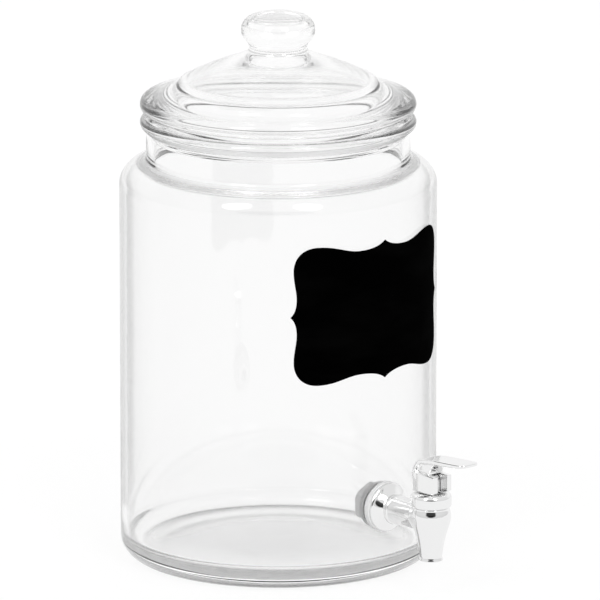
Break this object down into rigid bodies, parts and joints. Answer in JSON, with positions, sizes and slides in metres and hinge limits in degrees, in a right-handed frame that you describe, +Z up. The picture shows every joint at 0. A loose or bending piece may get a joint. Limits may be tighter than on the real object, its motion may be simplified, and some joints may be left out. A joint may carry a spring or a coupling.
{
  "type": "jar dispenser with tap",
  "caption": "Clear glass jar dispenser for liquid detergent, with a domed lid, a blank chalkboard label and a chrome lever tap near the base.",
  "frame": {"origin": "bottom centre of the box round the whole object, on the surface that it stands on; the jar's own axis is 41.1 mm behind it, at +Y", "axes": "+Z up along the jar's axis, -Y the way the tap points, +X to the right as seen from the tap"},
  "size_m": [0.206, 0.2882, 0.3606],
  "materials": {
    "clear_glass": "clear, smooth pressed glass",
    "clear_silicone": "translucent, soft satin",
    "seal_silicone": "milky, soft satin",
    "chalkboard": "matt black chalkboard film, blank",
    "chrome_plate": "bright polished plating",
    "nut_plastic": "moulded, satin",
    "stainless": "drawn, satin"
  },
  "bodies": {
    "vessel": {"jar": "clear_glass", "chalkboard_label": "chalkboard", "tap_body": "chrome_plate", "tap_bonnet": "chrome_plate", "bonnet_seal": "seal_silicone", "return_spring": "stainless", "outer_washer": "clear_silicone", "inner_washer": "clear_silicone", "lock_nut": "nut_plastic"},
    "lid": {"lid": "clear_glass", "lid_gasket": "clear_silicone"},
    "stem": {"valve_stem": "stainless", "seat_cup": "seal_silicone", "stem_o_ring": "seal_silicone", "pivot_pin": "stainless"},
    "lever": {"lever": "chrome_plate"}
  },
  "joints": [
    {"name": "lid_lift", "type": "slide", "parent": "vessel", "child": "lid", "axis": [0, 0, 1], "range_m": [0, 0.09]},
    {"name": "stem_lift", "type": "slide", "parent": "vessel", "child": "stem", "axis": [0, 0, 1], "range_m": [0, 0.0032], "deforming": ["return_spring"]},
    {"name": "lever_press", "type": "hinge", "parent": "stem", "child": "lever", "pos_m": [0, -0.1065, 0.0767], "axis": [1, 0, 0], "range_deg": [0, 30], "stiffness_Nm_per_rad": 0.0432, "springref_deg": -28.65}
  ],
  "couplings": [
    {"joint": "stem_lift", "follows": "lever_press", "m_per_rad": 0.006}
  ]
}
